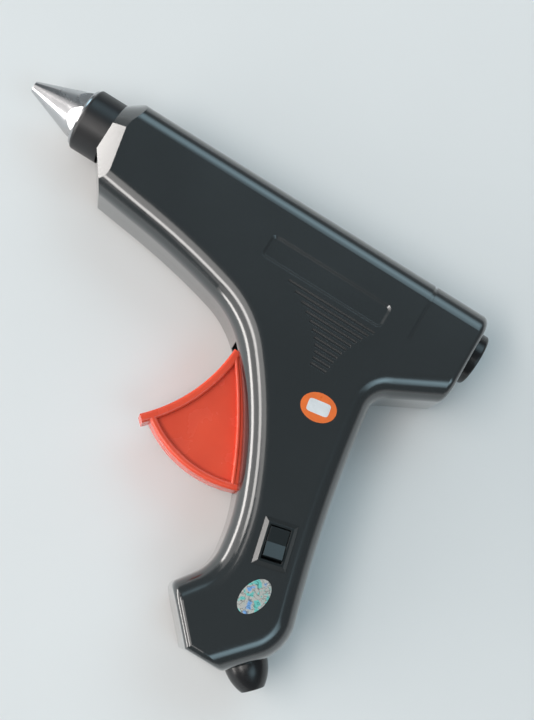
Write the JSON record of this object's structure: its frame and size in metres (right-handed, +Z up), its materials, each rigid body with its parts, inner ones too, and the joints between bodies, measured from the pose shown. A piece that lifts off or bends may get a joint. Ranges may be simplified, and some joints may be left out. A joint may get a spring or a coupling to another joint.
{
  "type": "hot glue gun",
  "caption": "Trigger-fed hot glue gun with a pistol grip, a bright conical nozzle, a side rocker switch and a rear inlet for glue sticks.",
  "frame": {"origin": "centre of the footprint of the gun lying on its right side, on the surface", "axes": "+X from the nozzle to the rear along the barrel, +Y from the grip to the top of the barrel, +Z up, towards the gun's left side"},
  "size_m": [0.195, 0.163, 0.0361],
  "materials": {
    "shell": "glossy black moulded plastic",
    "collar": "satin black heat-resistant plastic",
    "guide": "satin black plastic",
    "trigger": "glossy orange-red plastic",
    "nozzle": "bright plated metal",
    "washer": "bright steel",
    "chamber": "cast aluminium",
    "ceramic": "grey heating ceramic",
    "contact": "stamped brass",
    "insulation": "amber insulating film",
    "steel": "plain steel",
    "silicone": "red silicone rubber",
    "carriage": "natural nylon",
    "switch": "black plastic",
    "boot": "black soft plastic"
  },
  "bodies": {
    "body": {"left_shell": "shell", "right_shell": "shell", "housing_screws": "steel", "nozzle": "nozzle", "nozzle_washer": "washer", "nozzle_collar": "collar", "melt_chamber": "chamber", "heater_block": "ceramic", "heater_electrodes": "contact", "heater_insulator": "insulation", "heater_clip": "steel", "inlet_sleeve": "silicone", "sleeve_clamp": "steel", "stick_guide": "guide", "trigger_pin": "steel", "spring_post": "steel", "trigger_spring": "steel", "switch_body": "switch", "switch_terminals": "contact", "cord_boot": "boot", "cord_clamp": "switch", "cord_clamp_screws": "steel"},
    "trigger": {"trigger": "trigger", "drive_pin": "steel", "spring_peg": "steel"},
    "carriage": {"feed_carriage": "carriage", "gripper_pin": "steel"},
    "gripper": {"gripper_jaw": "steel"},
    "rocker": {"switch_rocker": "switch"}
  },
  "joints": [
    {"name": "trigger_pull", "type": "hinge", "parent": "body", "child": "trigger", "pos_m": [0.0305, 0.01821, 0.0165], "axis": [0, 0, 1], "range_deg": [0, 26], "stiffness_Nm_per_rad": 0.6, "springref_deg": -14.32, "deforming": ["trigger_spring"]},
    {"name": "carriage_feed", "type": "slide", "parent": "body", "child": "carriage", "axis": [-1, 0, 0], "range_m": [0, 0.01315]},
    {"name": "gripper_tilt", "type": "hinge", "parent": "carriage", "child": "gripper", "pos_m": [0.02302, 0.05831, 0.0165], "axis": [0, 0, 1], "range_deg": [0, 8.1]},
    {"name": "rocker_tilt", "type": "hinge", "parent": "body", "child": "rocker", "pos_m": [0.0658, -0.03299, 0.033], "axis": [0.9724, 0.2334, 0], "range_deg": [0, 16]}
  ],
  "couplings": [
    {"joint": "carriage_feed", "follows": "trigger_pull", "m_per_rad": 0.028752},
    {"joint": "gripper_tilt", "follows": "trigger_pull", "ratio": 0.30769}
  ]
}
